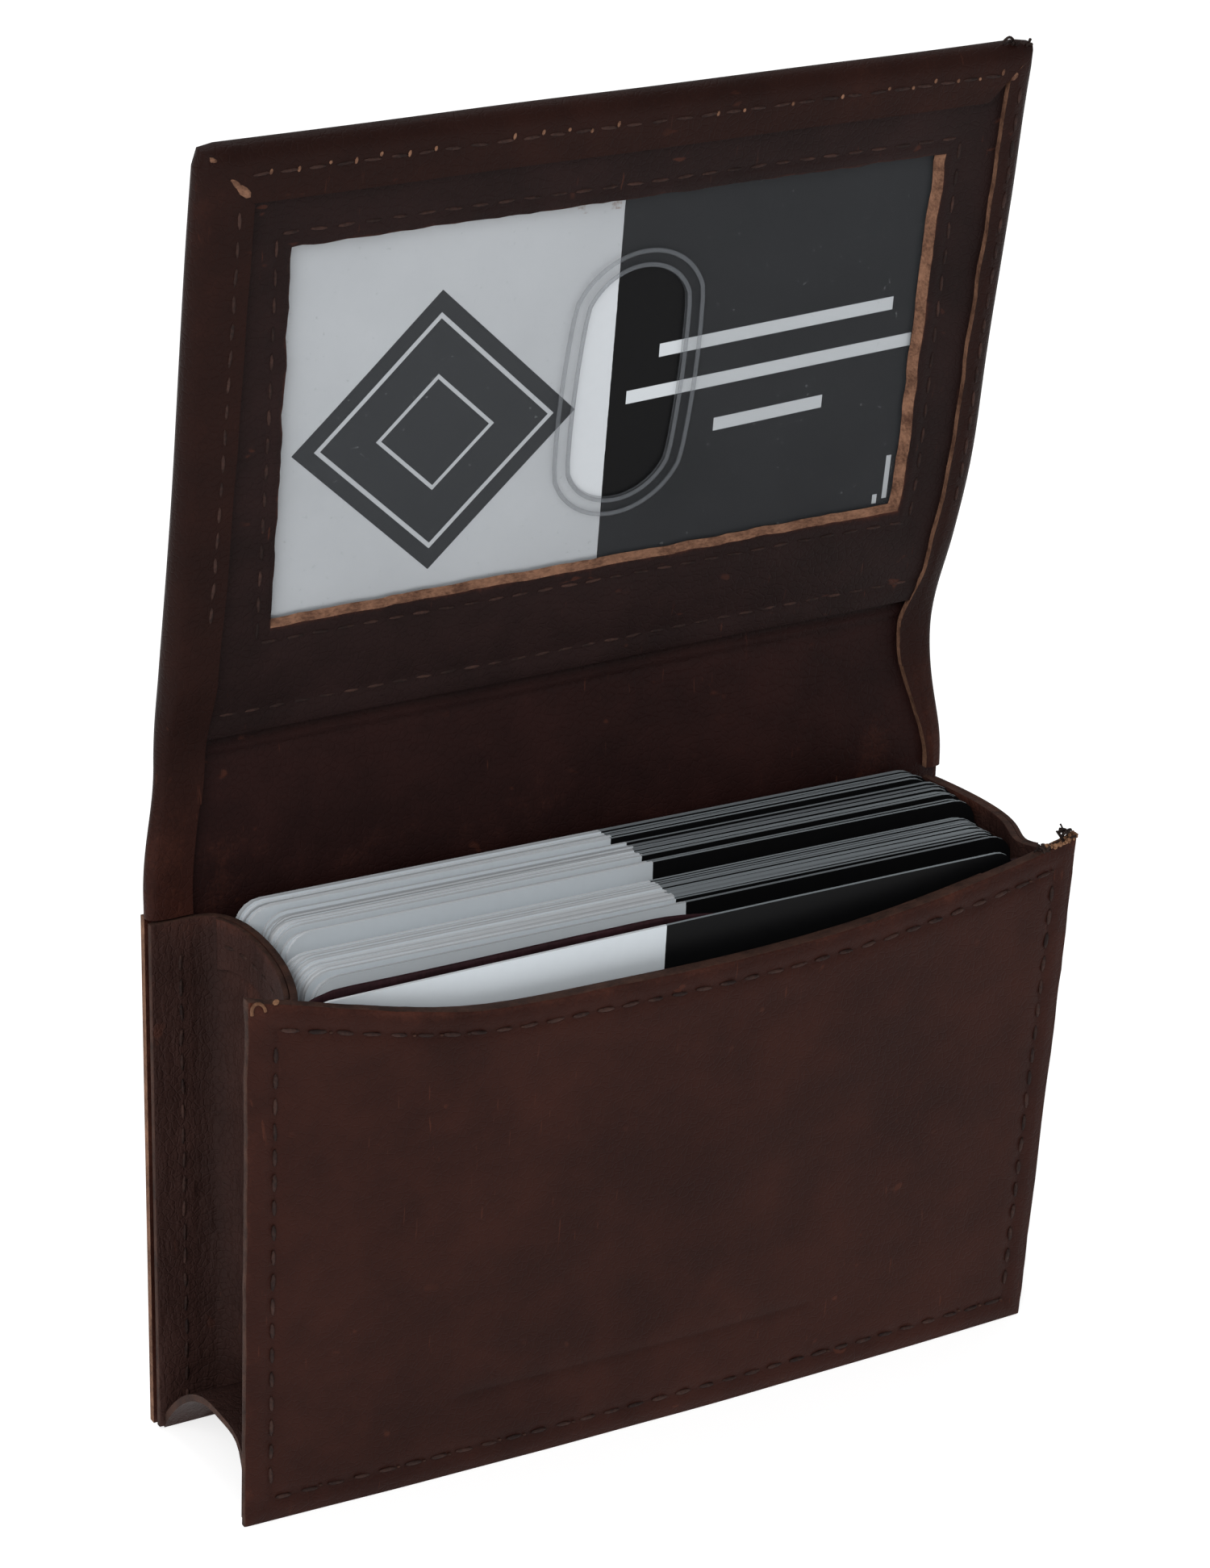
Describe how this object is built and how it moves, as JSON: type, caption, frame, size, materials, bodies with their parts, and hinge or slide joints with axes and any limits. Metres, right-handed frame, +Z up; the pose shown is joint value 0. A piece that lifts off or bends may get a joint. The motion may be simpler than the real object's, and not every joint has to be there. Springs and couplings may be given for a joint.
{
  "type": "business card case",
  "caption": "Gusseted leather business card case, open: flap with clear window pocket, folding spine, front pocket and bundles of cards, on two folds and card slides.",
  "frame": {"origin": "on the floor under the middle of the case's overall depth and width", "axes": "+Z up along the standing case, +X along its width, -Y towards the front panel"},
  "size_m": [0.1038, 0.0282, 0.1508],
  "materials": {
    "outer_leather": "semi-gloss brown cowhide",
    "inner_leather": "satin dark brown leather lining",
    "gusset_leather": "satin dark brown thin leather",
    "frame_leather": "satin brown leather, raw tan at cut edges",
    "divider_cloth": "thin plum-brown lining cloth",
    "thread": "brown polyester thread",
    "clear_sheet": "clear vinyl with an embossed rim",
    "printed_card": "coated card, half white and half black"
  },
  "bodies": {
    "case": {"back_panel": "outer_leather", "back_lining": "inner_leather", "left_gusset": "gusset_leather", "right_gusset": "gusset_leather", "bottom_gusset": "gusset_leather", "left_gusset_hem": "gusset_leather", "right_gusset_hem": "gusset_leather", "back_seam_thread": "thread", "gusset_hem_thread": "thread"},
    "spine": {"spine_panel": "outer_leather", "spine_lining": "inner_leather", "spine_hems": "outer_leather", "frame_lower_strip": "frame_leather", "frame_edge_thread": "thread"},
    "flap": {"flap_panel": "outer_leather", "window_frame": "frame_leather", "clear_window": "clear_sheet", "slot_rim": "clear_sheet", "flap_hem": "outer_leather", "window_thread": "thread", "flap_hem_thread": "thread"},
    "id_card": {"window_card": "printed_card"},
    "front": {"front_panel": "outer_leather", "front_top_hem": "outer_leather", "left_front_flange": "gusset_leather", "right_front_flange": "gusset_leather", "pocket_divider": "divider_cloth", "front_top_thread": "thread", "front_side_thread": "thread", "front_bottom_thread": "thread"},
    "spare_card": {"pocket_card": "printed_card"},
    "rear_bundle": {"rear_cards": "printed_card"},
    "middle_bundle": {"middle_cards": "printed_card"},
    "front_bundle": {"front_cards": "printed_card"}
  },
  "joints": [
    {"name": "spine_fold", "type": "hinge", "parent": "case", "child": "spine", "pos_m": [0, 0.01216, 0.065], "axis": [-1, 0, 0], "range_deg": [-84, 60]},
    {"name": "flap_fold", "type": "hinge", "parent": "spine", "child": "flap", "pos_m": [0, 0.00927, 0.08802], "axis": [-1, 0, 0], "range_deg": [-84, 60]},
    {"name": "front_swing", "type": "hinge", "parent": "case", "child": "front", "pos_m": [0, -0.01074, 0], "axis": [1, 0, 0], "range_deg": [-2.9, 5]},
    {"name": "id_card_slide", "type": "slide", "parent": "flap", "child": "id_card", "axis": [0, -0.1908, 0.9816], "range_m": [-0.0035, 0]},
    {"name": "spare_card_lift", "type": "slide", "parent": "front", "child": "spare_card", "axis": [0, -0.0471, 0.9989], "range_m": [0, 0.055]},
    {"name": "rear_cards_lift", "type": "slide", "parent": "case", "child": "rear_bundle", "axis": [0, 0, 1], "range_m": [0, 0.018]},
    {"name": "middle_cards_lift", "type": "slide", "parent": "case", "child": "middle_bundle", "axis": [0, 0, 1], "range_m": [0, 0.027]},
    {"name": "front_cards_lift", "type": "slide", "parent": "case", "child": "front_bundle", "axis": [0, 0, 1], "range_m": [0, 0.055]}
  ]
}
